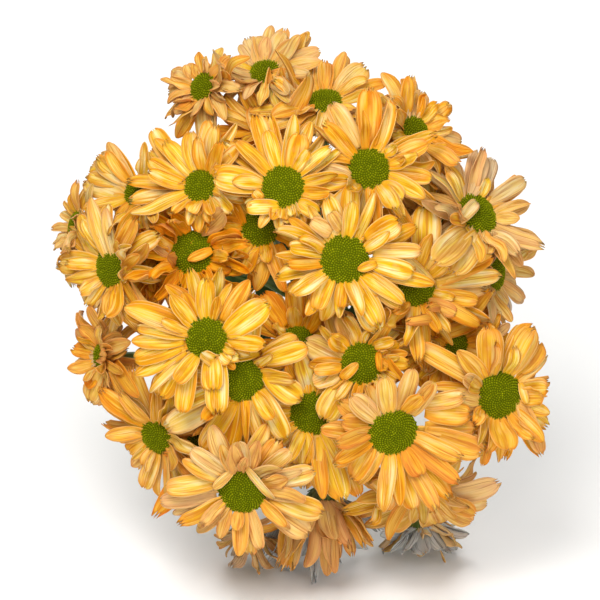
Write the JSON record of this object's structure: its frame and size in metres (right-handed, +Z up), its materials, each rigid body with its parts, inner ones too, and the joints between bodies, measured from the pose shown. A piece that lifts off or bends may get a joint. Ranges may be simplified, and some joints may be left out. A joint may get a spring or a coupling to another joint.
{
  "type": "multi-bloom chrysanthemum",
  "caption": "Tied bunch of cut spray chrysanthemums lying on its side: a dense dome of orange daisy flowers with green discs, on forked green stems with lobed leaves.",
  "frame": {"origin": "middle of the bunch's footprint, on the surface that it lies on", "axes": "+Z up; +Y horizontal, from the flowers to the cut ends of the stems; +X to the right of someone who looks at the flowers from the front"},
  "size_m": [0.2768, 0.38, 0.2782],
  "materials": {
    "petal": "soft matt petals, cream and yellow down the middle, orange along edges and tips, with fine veins",
    "green_stem": "satin green stems and cups, and discs of closely packed matt green florets",
    "leaf": "matt dark green with paler veins",
    "band": "natural twine, wound flat"
  },
  "bodies": {
    "root": {"spray_stem_1": "green_stem", "spray_stem_2": "green_stem", "spray_stem_3": "green_stem", "spray_stem_4": "green_stem", "spray_stem_5": "green_stem", "spray_stem_6": "green_stem", "spray_stem_7": "green_stem", "petals_01": "petal", "petals_02": "petal", "petals_03": "petal", "petals_04": "petal", "petals_05": "petal", "petals_06": "petal", "petals_07": "petal", "petals_08": "petal", "petals_09": "petal", "petals_10": "petal", "petals_11": "petal", "petals_12": "petal", "petals_13": "petal", "petals_14": "petal", "petals_15": "petal", "petals_16": "petal", "petals_17": "petal", "petals_18": "petal", "petals_19": "petal", "petals_20": "petal", "petals_21": "petal", "petals_22": "petal", "petals_23": "petal", "petals_24": "petal", "petals_25": "petal", "petals_26": "petal", "petals_27": "petal", "petals_28": "petal", "petals_29": "petal", "petals_30": "petal", "petals_31": "petal", "petals_32": "petal", "petals_33": "petal", "petals_34": "petal", "petals_35": "petal", "petals_36": "petal", "leaf_01": "leaf", "leaf_02": "leaf", "leaf_03": "leaf", "leaf_04": "leaf", "leaf_05": "leaf", "leaf_06": "leaf", "leaf_07": "leaf", "leaf_08": "leaf", "leaf_09": "leaf", "leaf_10": "leaf", "leaf_11": "leaf", "leaf_12": "leaf", "stem_band": "band"}
  },
  "joints": []
}
